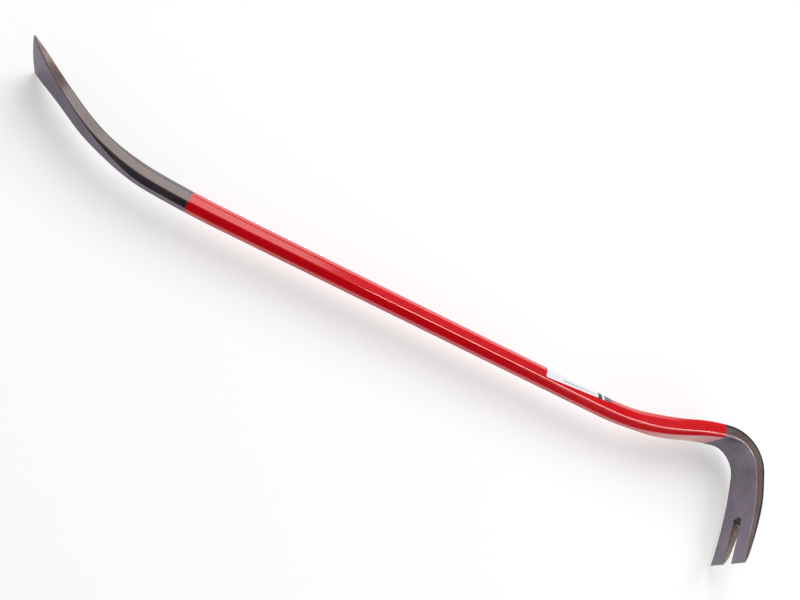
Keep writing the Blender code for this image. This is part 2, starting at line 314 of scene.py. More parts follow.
def spine_at(s):
    """Point and heading of the spine at each distance s.

    Every straight and arc before s adds its whole length, the one that holds s its share:
    an arc of bend k turns the heading by k times the run, and its chord follows from the
    sine and cosine of the heading at both ends.
    """
    x, y = np.zeros_like(s), np.zeros_like(s)
    heading = np.full_like(s, -(math.radians(CHISEL_TURN) + math.radians(EASE_TURN)))
    start = 0.0
    for k, (length, bend) in enumerate(SPINE):
        first, last = k == 0, k == len(SPINE) - 1
        run = np.clip(s - start, -1.0 if first else 0.0, 1.0 if last else length)
        if bend == 0.0:
            x = x + run * np.cos(heading)
            y = y + run * np.sin(heading)
        else:
            end = heading + bend * run
            x = x + (np.sin(end) - np.sin(heading)) / bend
            y = y - (np.cos(end) - np.cos(heading)) / bend
            heading = end
        start += length
    return x, y, heading


def smooth_through(rows, distance):
    """Columns of a table of sections at each distance, by a cubic that never overshoots.

    The slope at a row is the weighted harmonic mean of the slopes on its two sides, or
    nothing where they differ in sign; between rows the value is Hermite's cubic.
    """
    table = np.array(rows)
    knots, values = table[:, 0], table[:, 1:]
    steps = np.diff(knots)
    slopes = np.diff(values, axis=0) / steps[:, None]
    before, after = slopes[:-1], slopes[1:]
    weight_before = (2.0 * steps[1:] + steps[:-1])[:, None]
    weight_after = (steps[1:] + 2.0 * steps[:-1])[:, None]
    same = before * after > 0.0
    shares = (weight_before / np.where(same, before, 1.0)
              + weight_after / np.where(same, after, 1.0))
    tangents = np.zeros_like(values)
    tangents[0] = slopes[0]
    tangents[1:-1] = np.where(same, (weight_before + weight_after) / shares, 0.0)
    distance = np.clip(distance, knots[0], knots[-1])
    k = np.clip(np.searchsorted(knots, distance, side="right") - 1, 0, len(steps) - 1)
    t = ((distance - knots[k]) / steps[k])[..., None]
    ends = (values[k] * (1.0 + 2.0 * t) * (1.0 - t) ** 2
            + values[k + 1] * t * t * (3.0 - 2.0 * t))
    turns = tangents[k] * t * (1.0 - t) ** 2 + tangents[k + 1] * t * t * (t - 1.0)
    return np.moveaxis(ends + steps[k][..., None] * turns, -1, 0)


def rounded_off(distance, radius):
    """How far a corner of that radius draws the outline in, at a distance from the end."""
    left = np.clip(radius - distance, 0.0, radius)
    return radius - np.sqrt(radius ** 2 - left ** 2)


def sizes_at(s):
    """Half width, front and back offsets and the three chamfer legs of the section at each s."""
    tips = SPINE_LENGTH - s
    width_a, thick_a, leg_a, rear_a = smooth_through(CHISEL_SECTIONS, s)
    width_b, thick_b, leg_b, across_b, along_b = smooth_through(CLAW_SECTIONS, tips)
    level = smooth_through(CLAW_SECTIONS, np.maximum(tips, CLAW_FACE_LENGTH))[1] / 2.0
    chisel = s < SPINE_LENGTH / 2.0
    half = np.where(chisel, width_a, width_b) / 2.0
    half = half - rounded_off(np.minimum(s, tips), CORNER_ROUND)
    thick = np.where(chisel, thick_a, thick_b)
    front = np.where(chisel, thick_a / 2.0, level)
    return (half, front, thick - front, np.where(chisel, leg_a, leg_b),
            np.where(chisel, rear_a, across_b), np.where(chisel, rear_a, along_b))


def drawn_in(across, along, inset):
    """Legs of a chamfer once its section is drawn in by inset on every side."""
    slant = np.hypot(across, along)
    return (np.maximum(across - inset * (1.0 - (slant - across) / along), LEG_LEAST),
            np.maximum(along - inset * (1.0 - (slant - along) / across), LEG_LEAST))


def half_section(s, inset=0.0, start=0.0, end=0.0, arris=ARRIS):
    """Upper half outline of the section at each s, as (n, z) with n square to the spine.

    It runs from z = start on the front face over the top to z = end on the back face. Each
    of its four corners is an arc between two points that lie the tangent length away from
    the corner, and each flat carries points between them, two of them close to the arcs.
    s, start and end are arrays of rows; the answer has a line for every point, and the kind
    of each: 0 front face, 1 front chamfer, 2 side, 3 back chamfer, 4 back face, and a half
    more for the arc that follows.
    """
    half, front, back, leg, across, along = sizes_at(s)
    front_z, front_n = drawn_in(leg, leg, inset)
    back_z, back_n = drawn_in(across, along, inset)
    half, front, back = half - inset, front - inset, back - inset
    corners = np.array([
        (-front, start + 0.0 * s), (-front, half - front_z), (-front + front_n, half),
        (back - back_n, half), (back, half - back_z), (back, end + 0.0 * s)])
    edges = np.diff(corners, axis=0)
    lengths = np.maximum(np.linalg.norm(edges, axis=1), 1e-9)
    along_edge = edges / lengths[:, None]
    turn = np.arccos(np.clip((along_edge[:-1] * along_edge[1:]).sum(axis=1), -1.0, 1.0))
    trim = np.minimum(arris * np.tan(turn / 2.0),
                      ARRIS_MOST * np.minimum(lengths[:-1], lengths[1:]))
    none = np.zeros_like(trim[:1])
    trims = np.concatenate([none, trim, none])
    parts, kinds = [], []
    for k, count in enumerate(FLAT_POINTS):
        run = lengths[k] - trims[k] - trims[k + 1]
        near = np.minimum(SUPPORT, SUPPORT_MOST * run)
        inner = np.linspace(0.0, 1.0, count).reshape((count,) + (1,) * run.ndim)
        places = near + (run - 2.0 * near) * inner
        if k == 0:
            places = np.concatenate([0.0 * places[:1], places])
        if k == len(FLAT_POINTS) - 1:
            places = np.concatenate([places, 0.0 * places[:1] + run])
        from_corner = trims[k] + places
        parts.append(corners[k][:, None] + along_edge[k][:, None] * from_corner[None])
        kinds += [k] * parts[-1].shape[1]
        if k == len(FLAT_POINTS) - 1:
            break
        radius = trims[k + 1] / np.maximum(np.tan(turn[k] / 2.0), 1e-6)
        angle = np.linspace(0.0, 1.0, ARC_POINTS).reshape((-1,) + (1,) * run.ndim) * turn[k]
        ahead = along_edge[k][:, None]
        inward = np.array([along_edge[k][1], -along_edge[k][0]])[:, None]
        begin = (corners[k + 1] - along_edge[k] * trims[k + 1])[:, None]
        parts.append(begin + radius * (np.sin(angle) * ahead + (1.0 - np.cos(angle)) * inward))
        kinds += [k + 0.5] * ARC_POINTS
    return np.concatenate(parts, axis=1), np.array(kinds)


def on_spine(s, n, z):
    """Points (x, y, z) of offsets n across the spine and z above the plane of the bends."""
    x, y, heading = spine_at(s)
    return np.stack([x - np.sin(heading) * n, y + np.cos(heading) * n, z + 0.0 * s], axis=-1)


def section_points(s, **shape):
    """Upper half outline at one distance per row, in every column, as points (rows, columns, 3)."""
    (n, z), kinds = half_section(s, **shape)
    n, z = n.T, z.T
    return on_spine(s[:, None] + 0.0 * n, n, z), kinds


def slot_line(spacing, root_spacing, fine=0.00005, past_mouth=0.004, root_points=261,
              mean_over=17):
    """Half outline of the nail slot as distances from the tips, half widths and normals.

    A straight side that closes towards the root and a root shaped as a parabola, with
    the corner between them rounded by a running mean and the mouth's corner by an arc.
    The outline is worked out on fine points and then taken at the two spacings.
    """
    sides = np.arange(-past_mouth, SLOT_SIDE, fine)
    side_z = (SLOT_MOUTH + (SLOT_ROOT - SLOT_MOUTH) * sides / SLOT_SIDE) / 2.0
    crown = np.linspace(1.0, -1.0, root_points)
    root = SLOT_SIDE + SLOT_RISE * (1.0 - crown ** 2)
    d = np.concatenate([sides, root, sides[::-1]])
    z = np.concatenate([side_z, crown * SLOT_ROOT / 2.0, -side_z[::-1]])
    window = np.hanning(mean_over) / np.hanning(mean_over).sum()
    d, z = np.convolve(d, window, "same"), np.convolve(z, window, "same")
    keep = (d >= 0.0) & (z >= -1e-9) & (np.arange(len(d)) < len(d) // 2 + 1)
    d, z = d[keep], z[keep]
    d[0], z[-1] = 0.0, 0.0
    z = z + rounded_off(d, CORNER_ROUND)
    run = np.concatenate([[0.0], np.cumsum(np.hypot(np.diff(d), np.diff(z)))])
    bend = run[np.searchsorted(d, SLOT_SIDE - SLOT_END_RUN)]
    rows = np.concatenate([
        np.linspace(0.0, SLOT_END_RUN, 6)[:-1],
        np.linspace(SLOT_END_RUN, bend, int((bend - SLOT_END_RUN) / spacing))[:-1],
        np.linspace(bend, run[-1], int((run[-1] - bend) / root_spacing))])
    line_d, line_z = np.interp(rows, run, d), np.interp(rows, run, z)
    slope_d, slope_z = np.gradient(line_d, rows), np.gradient(line_z, rows)
    size = np.hypot(slope_d, slope_z)
    normal_d, normal_z = -slope_z / size, slope_d / size
    normal_d[-1], normal_z[-1] = 1.0, 0.0
    return line_d, line_z, normal_d, normal_z


def smooth_step(t):
    """0 before 0, 1 after 1, and three squares less two cubes of t between them."""
    t = np.clip(t, 0.0, 1.0)
    return t * t * (3.0 - 2.0 * t)


def grid_quads(rows, columns, first=0):
    """Corner numbers of the quads of a grid whose points are numbered row by row."""
    index = first + np.arange(rows * columns).reshape(rows, columns)
    return np.stack([index[:-1, :-1], index[:-1, 1:], index[1:, 1:], index[1:, :-1]],
                    axis=-1).reshape(-1, 4)


SEAM_GAP = 2e-6


def mesh_piece(name, points, faces, surface_map, values=None):
    """A piece from points and faces, with its own map and values at points, seams merged."""
    mesh = bpy.data.meshes.new(name)
    mesh.from_pydata(points.tolist(), [], [list(map(int, face)) for face in faces])
    corner = np.empty(len(mesh.loops), dtype=np.int32)
    mesh.loops.foreach_get("vertex_index", corner)
    layer = mesh.uv_layers.new(name="surface")
    layer.uv.foreach_set("vector", surface_map[corner].astype(np.float32).ravel())
    for label, value in (values or {}).items():
        held = mesh.attributes.new(label, "FLOAT", "POINT")
        held.data.foreach_set("value", value.astype(np.float32))
    work = bmesh.new()
    work.from_mesh(mesh)
    bmesh.ops.remove_doubles(work, verts=work.verts, dist=SEAM_GAP)
    work.to_mesh(mesh)
    work.free()
    mesh.shade_smooth()
    piece = bpy.data.objects.new(name, mesh)
    bpy.context.scene.collection.objects.link(piece)
    return piece


def evenly(start, end, step):
    """Distances from start to end, evenly spaced and no further apart than step."""
    return np.linspace(start, end, max(2, int(math.ceil((end - start) / step)) + 1))


# Rows of the forging: fine where it shows, finest at the edge, in the slot's root and under
# the paint's lip, and wide under the paint, where the steel is sunk by a step
FINE_STEP = 0.0014
ROOT_STEP = 0.00035
HIDDEN_STEP = 0.0120
NOSE_ROWS = (0.0, 0.0001, 0.00025, 0.0005, 0.0008, 0.0012, 0.002)
BLADE_FROM = 0.003
UNDER_LIP = np.array([0.0, 0.00015, 0.00025])
LIP_MARGIN = 0.0004
SUNK_FROM = 0.0007

slot_d, slot_z, slot_nd, slot_nz = slot_line(FINE_STEP, ROOT_STEP)
crown = slot_d[-1] + SLOT_EASE
bare_chisel = np.concatenate([NOSE_ROWS, evenly(BLADE_FROM, COAT_FROM - LIP_MARGIN, FINE_STEP),
                              COAT_FROM + UNDER_LIP])
hidden = evenly(COAT_FROM + SUNK_FROM, COAT_TO - SUNK_FROM, HIDDEN_STEP)
bare_claw = np.concatenate([COAT_TO - UNDER_LIP[::-1],
                            evenly(COAT_TO + LIP_MARGIN, SPINE_LENGTH - crown, FINE_STEP)])
body_rows = np.concatenate([bare_chisel, hidden, bare_claw])
body_inset = np.concatenate([0.0 * bare_chisel, UNDER_COAT + 0.0 * hidden, 0.0 * bare_claw])
tine_rows = SPINE_LENGTH - (slot_d + SLOT_EASE * slot_nd)[::-1][1:]
tine_start = (slot_z + SLOT_EASE * slot_nz)[::-1][1:]
rows = np.concatenate([body_rows, tine_rows])
inset = np.concatenate([body_inset, 0.0 * tine_rows])
start = np.concatenate([0.0 * body_rows, tine_start])

NOSE_POINTS = 5
WALL_POINTS = 4


def forged_half():
    """Upper half of the forging's skin, and the upper half of the wall of its nail slot.

    Every row is a section, bent in two places: at the chisel the rows bow out with the
    edge by a parabola of the width, and round the slot they slant back through the steel
    as its root does. At both ends the last rows close the thickness as a quarter ellipse.
    """
    (n, z), kinds = half_section(rows, inset=inset, start=start, end=start)
    n, z = n.T, z.T
    half, front, back = sizes_at(rows)[:3]
    share = np.clip(z / half[:, None], 0.0, 1.0)
    depth = (n + front[:, None]) / (front + back)[:, None]
    fading = np.clip(1.0 - rows / BOW_FADES, 0.0, 1.0) ** 2
    bow = -EDGE_BOW * (1.0 - share ** 2) * fading[:, None]
    tips = SPINE_LENGTH - rows
    slant = np.where(tips < crown, smooth_step(tips / SLANT_FADES),
                     1.0 - smooth_step((tips - crown) / SLANT_FADES))
    lean = (front + back) * math.tan(SLOT_SLANT) * slant
    s = rows[:, None] + bow + depth * lean[:, None]
    n, z = np.empty_like(s), np.empty_like(s)
    for column in range(len(kinds)):
        line_n, line_z = half_section(s[:, column], inset=inset, start=start, end=start)[0]
        n[:, column], z[:, column] = line_n[column], line_z[column]
    from_end = np.minimum(rows, tips)
    nose = np.sqrt(1.0 - (1.0 - np.clip(from_end / NOSE, 0.0, 1.0)) ** 2)
    nose = NOSE_THINNEST + (1.0 - NOSE_THINNEST) * nose
    middle = (n[:, :1] + n[:, -1:]) / 2.0
    n = middle + (n - middle) * nose[:, None]
    skin = on_spine(s, n, z)
    angle = np.linspace(0.0, math.pi / 2.0, NOSE_POINTS)
    away = np.concatenate([1.0 - np.sin(angle), np.zeros(WALL_POINTS),
                           1.0 - np.sin(angle[::-1])])
    base_d, base_z = slot_d[::-1], slot_z[::-1]
    out_d, out_z = slot_nd[::-1], slot_nz[::-1]
    wall_s = SPINE_LENGTH - (base_d + SLOT_EASE * out_d)
    lines = slice(len(body_rows) - 1, len(rows))
    thick = n[lines, -1] - n[lines, 0]
    ease = np.minimum(SLOT_EASE, SLOT_EASE_MOST * thick)
    inside = np.linspace(0.0, 1.0, WALL_POINTS + 2)[1:-1]
    deep = np.concatenate([
        np.outer(ease, 1.0 - np.cos(angle)),
        ease[:, None] + (thick - 2.0 * ease)[:, None] * inside,
        thick[:, None] - np.outer(ease, 1.0 - np.cos(angle[::-1]))], axis=1)
    gap = SLOT_EASE * (1.0 - away)[None, :]
    wall_at = (wall_s[:, None] + gap * out_d[:, None]
               + deep / thick[:, None] * lean[lines][:, None])
    wall_z = (base_z + SLOT_EASE * out_z)[:, None] - gap * out_z[:, None]
    wall = on_spine(wall_at, n[lines, :1] + deep, wall_z)
    return skin, wall, kinds, s, wall_at


skin, wall, kinds, skin_s, wall_s = forged_half()
skin_rows, skin_columns = skin.shape[:2]
wall_rows, wall_columns = wall.shape[:2]


def run_along(points):
    """Length of every row of points from its first column."""
    steps = np.linalg.norm(np.diff(points, axis=1), axis=-1)
    return np.concatenate([np.zeros_like(steps[:, :1]), np.cumsum(steps, axis=1)], axis=1)


# The finish of the steel: the sides are ground, and so in part are the chisel's back
# chamfers. Near-black is painted in as shade in the crease of the slot's root, as some scale
# and a painted dark reflection on the chisel's front chamfers, and as a painted dark
# reflection on the claw's back ones. What the chamfers have fades along the grip.
CHISEL_BACK_GROUND = 0.30
CHISEL_FRONT_SCALE_AND_REFLECTION = 0.42
CLAW_BACK_DARK_REFLECTION = 0.45

grip = [COAT_FROM, COAT_TO]
ground_side = np.interp(kinds, [1.0, 1.5, 2.0, 2.5, 3.0], [0.0, 0.8, 1.0, 0.7, 0.0])
ground_back = np.interp(skin_s, grip, [CHISEL_BACK_GROUND, 0.0]) * (kinds == 3.0)
# Some scale and a painted dark reflection on the chisel's front chamfers, a painted dark reflection
# on the claw's back ones
chamfer_scale_and_reflection = (np.interp(skin_s, grip, [CHISEL_FRONT_SCALE_AND_REFLECTION, 0.0]) * (kinds == 1.0)
                 + np.interp(skin_s, grip, [0.0, CLAW_BACK_DARK_REFLECTION]) * (kinds == 3.0))
# Painted shade in the crease where the slot's sides meet its rounded root
root_painted_shade = np.exp(-((slot_d[::-1] - SLOT_SIDE) / ROOT_SHADE_SPREAD) ** 2)
on_arris = (kinds % 1.0 == 0.5).astype(float)
skin_map = np.stack([skin_s, run_along(skin)], axis=-1)
wall_map = np.stack([wall_s, run_along(wall)], axis=-1)
half_points = np.concatenate([skin.reshape(-1, 3), wall.reshape(-1, 3)])
half_map = np.concatenate([skin_map.reshape(-1, 2), wall_map.reshape(-1, 2)])
half_ground = np.concatenate([(ground_side + ground_back).ravel(), np.ones(wall.size // 3)])
half_scale_and_shade = np.concatenate([chamfer_scale_and_reflection.ravel(), np.repeat(root_painted_shade, wall_columns)])
half_arris = np.concatenate([np.tile(on_arris, skin_rows), np.zeros(wall.size // 3)])

# The faces: skin and wall, ladders across the thickness that close the chisel's edge and
# the tine's tip, and one face that closes the tip beside the mouth of the slot
skin_quads = grid_quads(skin_rows, skin_columns)
wall_quads = grid_quads(wall_rows, wall_columns, skin.size // 3)[:, ::-1]
last = (skin_rows - 1) * skin_columns
middle = skin_columns // 2
near = np.arange(middle)
ladder_edge = np.stack([near, skin_columns - 1 - near, skin_columns - 2 - near, near + 1],
                       axis=-1)
ladder_tips = last + ladder_edge[:, ::-1]
wall_end = skin.size // 3 + (wall_rows - 1) * wall_columns + np.arange(wall_columns)
faces = [list(face) for face in np.concatenate([skin_quads, wall_quads])]
for face in np.concatenate([ladder_edge, ladder_tips]).tolist():
    faces.append(list(dict.fromkeys(face)))
faces.append([last] + wall_end[1:-1].tolist() + [last + skin_columns - 1])

count = len(half_points)
mirror = np.array([1.0, 1.0, -1.0])
points = np.concatenate([half_points, half_points * mirror])
faces = faces + [[count + corner for corner in face[::-1]] for face in faces]
surface = np.concatenate([half_map, half_map * (1.0, -1.0)])

# The bar's raw points start at the chisel's edge: the paint coat's end and its front flat
# say how far that is from the frame's origin.
coat_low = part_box("red_paint_coat")[0]
bar_low, bar_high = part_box("forged_bar")
coat_end = section_points(np.array([COAT_FROM]), arris=0.0)[0]
shank = on_spine(np.array([SHANK_FROM]), np.array([-BAR_FLATS / 2.0]), np.array([0.0]))
to_frame = np.array([coat_low[0] - coat_end[..., 0].min(), coat_low[1] - shank[0, 1],
                     (bar_low[2] + bar_high[2]) / 2.0])

forging = mesh_piece("forging", points + to_frame, faces, surface,
                     {"ground_side": np.tile(half_ground, 2), "arris": np.tile(half_arris, 2),
                      "scale_and_shade": np.tile(half_scale_and_shade, 2)})
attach(forging, "root")
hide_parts("forged_bar")

STEEL_SKIN = (0.235, 0.205, 0.245)
STEEL_SIDE = (0.118, 0.080, 0.068)
STEEL_HEATED = (0.150, 0.060, 0.045)
STEEL_WORN = (0.290, 0.245, 0.230)
# Painted reflection: the lighter colour of the chisel's broad faces at its very edge, standing for
# the lit floor they mirror
STEEL_EDGE_SHEEN = (0.260, 0.230, 0.285)
# Near-black for painted shade and painted dark reflection, partly scale on the chisel's front
# chamfers
STEEL_SCALE_AND_SHADE = (0.035, 0.026, 0.024)
EDGE_SHEEN_FROM, EDGE_SHEEN_TO = 0.004, 0.034
HEAT_TINT_TO = 0.040
HEAT_TINT = 0.8
SKIN_STREAKS, SIDE_STREAKS = 0.22, 0.15
ARRIS_WEAR = 0.12
SCALE_AND_SHADE_COVERS = 0.9
SIDE_METALLIC = 0.15
SKIN_ROUGHNESS, SIDE_ROUGHNESS = 0.35, 0.32
CLOUDS_ROUGHEN = 0.25
LACQUER_ROUGHNESS = 0.22
CHISEL_LINES_APART, CLAW_LINES_APART = 0.0018, 0.0026
CHISEL_LINES_SHOW, CLAW_LINES_SHOW = 0.3, 0.8
STEEL_LINES_TURN = math.radians(55.0)
GRIT_SCALE = 2600.0
GRIT_HEIGHT = 0.00003
LINES_HEIGHT = 0.00003
SCUFFS_HEIGHT = 0.00001


def group_of(name, inputs, outputs):
    """An empty shader node group: an input of no value is a vector, all others are floats."""
    group = bpy.data.node_groups.new(name, "ShaderNodeTree")
    for label, value in inputs.items():
        kind = "NodeSocketVector" if value is None else "NodeSocketFloat"
        socket = group.interface.new_socket(label, in_out="INPUT", socket_type=kind)
        if value is not None:
            socket.default_value = value
    for label in outputs:
        group.interface.new_socket(label, in_out="OUTPUT", socket_type="NodeSocketFloat")
    return group, group.nodes.new("NodeGroupInput"), group.nodes.new("NodeGroupOutput")


def placed(tree, group, vector, **values):
    """A node group placed in a tree along a vector socket, with its own values."""
    made = node(tree, "ShaderNodeGroup", node_tree=group, **values)
    tree.links.new(vector, made.inputs["Vector"])
    return made


def sum_of(tree, first, second, operation="ADD"):
    """Sum of two sockets or numbers, or what another operation makes of them."""
    made = node(tree, "ShaderNodeMath", operation=operation)
    for place, value in enumerate((first, second)):
        if isinstance(value, (int, float)):
            made.inputs[place].default_value = value
        else:
            tree.links.new(value, made.inputs[place])
    return made.outputs[0]


def swing(tree, value, middle, share):
    """How far a value lies from its middle, times a share."""
    return sum_of(tree, sum_of(tree, value, middle, "SUBTRACT"), share, "MULTIPLY")


def ranged(tree, value, low, high, to_low, to_high, smooth=False):
    """A value taken from one range to another and held inside it."""
    made = node(tree, "ShaderNodeMapRange", interpolation_type="SMOOTHSTEP" if smooth else "LINEAR",
                From_Min=low, From_Max=high, To_Min=to_low, To_Max=to_high)
    tree.links.new(value, made.inputs["Value"])
    return made.outputs[0]


def blended(tree, share, first, second, blend="MIX"):
    """Colour between two colours or sockets by a share, which may be a socket too."""
    made = node(tree, "ShaderNodeMix", data_type="RGBA", blend_type=blend)
    for place, value in ((0, share), (6, first), (7, second)):
        if isinstance(value, (int, float)):
            made.inputs[place].default_value = value
        elif isinstance(value, tuple):
            made.inputs[place].default_value = value + (1.0,)
        else:
            tree.links.new(value, made.inputs[place])
    return made.outputs[2]


def noise(tree, vector, scale, detail=2.0, roughness=0.5):
    """Fractal noise from 0 to 1 along a vector socket."""
    made = node(tree, "ShaderNodeTexNoise", Scale=scale, Detail=detail, Roughness=roughness)
    tree.links.new(vector, made.inputs["Vector"])
    return made.outputs[0]


def stretched(tree, vector, scale, turn=0.0):
    """A vector scaled on each axis and then turned in its plane by an angle."""
    made = node(tree, "ShaderNodeMapping", Scale=scale, Rotation=(0.0, 0.0, turn))
    tree.links.new(vector, made.inputs["Vector"])
    return made.outputs[0]


def build_cloudy_tone():
    """Cloudy tone: large soft clouds with finer mottling, as a value round 1.

    Two noises, one at the given scale and one seven times finer, weighted two to one and
    spread about 1 by the contrast.
    """
    tree, given, result = group_of(
        "cloudy_tone", {"Vector": None, "Scale": 40.0, "Contrast": 0.3}, ["Tone"])
    scaled = node(tree, "ShaderNodeVectorMath", operation="SCALE")
    tree.links.new(given.outputs["Vector"], scaled.inputs[0])
    tree.links.new(given.outputs["Scale"], scaled.inputs["Scale"])
    clouds = noise(tree, scaled.outputs[0], 1.0, detail=3.0, roughness=0.55)
    mottle = noise(tree, scaled.outputs[0], 7.0, detail=4.0, roughness=0.65)
    both = sum_of(tree, sum_of(tree, clouds, 2.0, "MULTIPLY"), mottle)
    spread = swing(tree, both, 1.5, given.outputs["Contrast"])
    tree.links.new(sum_of(tree, spread, 1.0), result.inputs["Tone"])
    return tree


def build_handling_marks():
    """Handling marks: long thin scuffs that lie along the bar, as a mask and a height.

    A noise stretched twenty times along the first axis is cut off above its middle, so
    that only its crests stay, and clouds some seventeen times as wide break them up.
    """
    tree, given, result = group_of(
        "handling_marks", {"Vector": None, "Scale": 900.0, "Amount": 0.5}, ["Mask", "Height"])
    scaled = node(tree, "ShaderNodeVectorMath", operation="SCALE")
    tree.links.new(given.outputs["Vector"], scaled.inputs[0])
    tree.links.new(given.outputs["Scale"], scaled.inputs["Scale"])
    along = stretched(tree, scaled.outputs[0], (0.05, 1.0, 1.0), turn=0.06)
    lines = noise(tree, along, 1.0, detail=2.0, roughness=0.6)
    crests = ranged(tree, lines, 0.60, 0.72, 0.0, 1.0, smooth=True)
    patches = noise(tree, scaled.outputs[0], 0.06, detail=2.0)
    worn = ranged(tree, patches, 0.45, 0.70, 0.0, 1.0, smooth=True)
    marks = sum_of(tree, crests, worn, "MULTIPLY")
    mask = sum_of(tree, marks, given.outputs["Amount"], "MULTIPLY")
    tree.links.new(mask, result.inputs["Mask"])
    tree.links.new(sum_of(tree, mask, -1.0, "MULTIPLY"), result.inputs["Height"])
    return tree


def build_grinding_lines():
    """Grinding lines: fine parallel ridges across the first axis of a map, from 0 to 1.

    A sine wave along the first axis, its phase shifted by a noise that is drawn out along
    the lines, and its depth varied by clouds.
    """
    tree, given, result = group_of(
        "grinding_lines", {"Vector": None, "Spacing": 0.001}, ["Lines"])
    apart = node(tree, "ShaderNodeVectorMath", operation="DIVIDE")
    whole = node(tree, "ShaderNodeCombineXYZ")
    for axis in range(3):
        tree.links.new(given.outputs["Spacing"], whole.inputs[axis])
    tree.links.new(given.outputs["Vector"], apart.inputs[0])
    tree.links.new(whole.outputs[0], apart.inputs[1])
    drawn_out = stretched(tree, apart.outputs[0], (0.60, 0.06, 1.0))
    shift = noise(tree, drawn_out, 1.0, detail=2.0)
    split = node(tree, "ShaderNodeSeparateXYZ")
    tree.links.new(apart.outputs[0], split.inputs[0])
    phase = sum_of(tree, split.outputs[0], sum_of(tree, shift, 1.8, "MULTIPLY"))
    wave = node(tree, "ShaderNodeMath", operation="SINE")
    tree.links.new(sum_of(tree, phase, 2.0 * math.pi, "MULTIPLY"), wave.inputs[0])
    depth = noise(tree, apart.outputs[0], 0.12, detail=2.0)
    height = ranged(tree, depth, 0.35, 0.65, 0.25, 0.5)
    ridges = sum_of(tree, wave.outputs[0], height, "MULTIPLY")
    tree.links.new(sum_of(tree, ridges, 0.5), result.inputs["Lines"])
    return tree


cloudy_tone = build_cloudy_tone()
handling_marks = build_handling_marks()
grinding_lines = build_grinding_lines()


def finish_of(name):
    """A new material, its node tree and its surface shader."""
    made = bpy.data.materials.new(name)
    made.use_nodes = True
    return made, made.node_tree, made.node_tree.nodes["Principled BSDF"]


def surface_of(tree):
    """The map of a piece's surface, and its distances along the bar and round it."""
    surface_map = node(tree, "ShaderNodeUVMap", uv_map="surface").outputs[0]
    split = node(tree, "ShaderNodeSeparateXYZ")
    tree.links.new(surface_map, split.inputs[0])
    return surface_map, split.outputs[0], split.outputs[1]


def attribute(tree, name):
    """Value of a named attribute of the mesh."""
    return node(tree, "ShaderNodeAttribute", attribute_name=name).outputs["Fac"]


def relief(tree, height, distance, normal=None):
    """Normal of a surface raised by a height socket times a distance in metres."""
    made = node(tree, "ShaderNodeBump", Distance=distance)
    tree.links.new(height, made.inputs["Height"])
    if normal is not None:
        tree.links.new(normal, made.inputs["Normal"])
    return made.outputs[0]


steel, tree, shader = finish_of("dark_steel")
surface_map, along = surface_of(tree)[:2]
place = node(tree, "ShaderNodeTexCoord").outputs["Object"]
side = attribute(tree, "ground_side")
tree.links.new(ranged(tree, side, 0.0, 1.0, 1.0, SIDE_METALLIC), shader.inputs["Metallic"])
tree.links.new(side, shader.inputs["Coat Weight"])
shader.inputs["Coat Roughness"].default_value = LACQUER_ROUGHNESS
shader.inputs["Specular IOR Level"].default_value = 0.20
shader.inputs["Specular Tint"].default_value = (0.60, 0.58, 0.62, 1.0)

clouds = placed(tree, cloudy_tone, place, Scale=55.0, Contrast=0.34)
turned = stretched(tree, surface_map, (1.0, 1.0, 1.0), turn=STEEL_LINES_TURN)
lines = placed(tree, grinding_lines, turned)
lines_apart = ranged(tree, along, COAT_FROM, COAT_TO, CHISEL_LINES_APART, CLAW_LINES_APART)
tree.links.new(lines_apart, lines.inputs["Spacing"])
scuffs = placed(tree, handling_marks, surface_map, Amount=0.6)
drawn = noise(tree, stretched(tree, surface_map, (12.0, 420.0, 1.0)), 1.0, detail=3.0)

# Painted reflection: the chisel's broad faces are lighter at the edge and darken to the plain skin
# a few centimetres back
edge_sheen = ranged(tree, along, EDGE_SHEEN_FROM, EDGE_SHEEN_TO, 1.0, 0.0, smooth=True)
heat_tint = ranged(tree, along, 0.0, HEAT_TINT_TO, HEAT_TINT, 0.0, smooth=True)
body_tone = blended(tree, side, blended(tree, edge_sheen, STEEL_SKIN, STEEL_EDGE_SHEEN),
                    blended(tree, heat_tint, STEEL_SIDE, STEEL_HEATED))
lines_show = ranged(tree, along, COAT_FROM, COAT_TO, CHISEL_LINES_SHOW, CLAW_LINES_SHOW)
line_share = sum_of(tree, side, lines_show, "MULTIPLY")
ground_depth = swing(tree, lines.outputs[0], 0.5, line_share)
drawn_depth = swing(tree, drawn, 0.5, ranged(tree, side, 0.0, 1.0, SKIN_STREAKS, SIDE_STREAKS))
tone = sum_of(tree, clouds.outputs[0], sum_of(tree, ground_depth, drawn_depth))
grey = node(tree, "ShaderNodeCombineColor")
for channel in range(3):
    tree.links.new(tone, grey.inputs[channel])
toned = blended(tree, 1.0, body_tone, grey.outputs[0], blend="MULTIPLY")
worn_share = sum_of(tree, sum_of(tree, attribute(tree, "arris"), ARRIS_WEAR, "MULTIPLY"),
                    scuffs.outputs["Mask"], "MAXIMUM")
worn = blended(tree, worn_share, toned, STEEL_WORN)
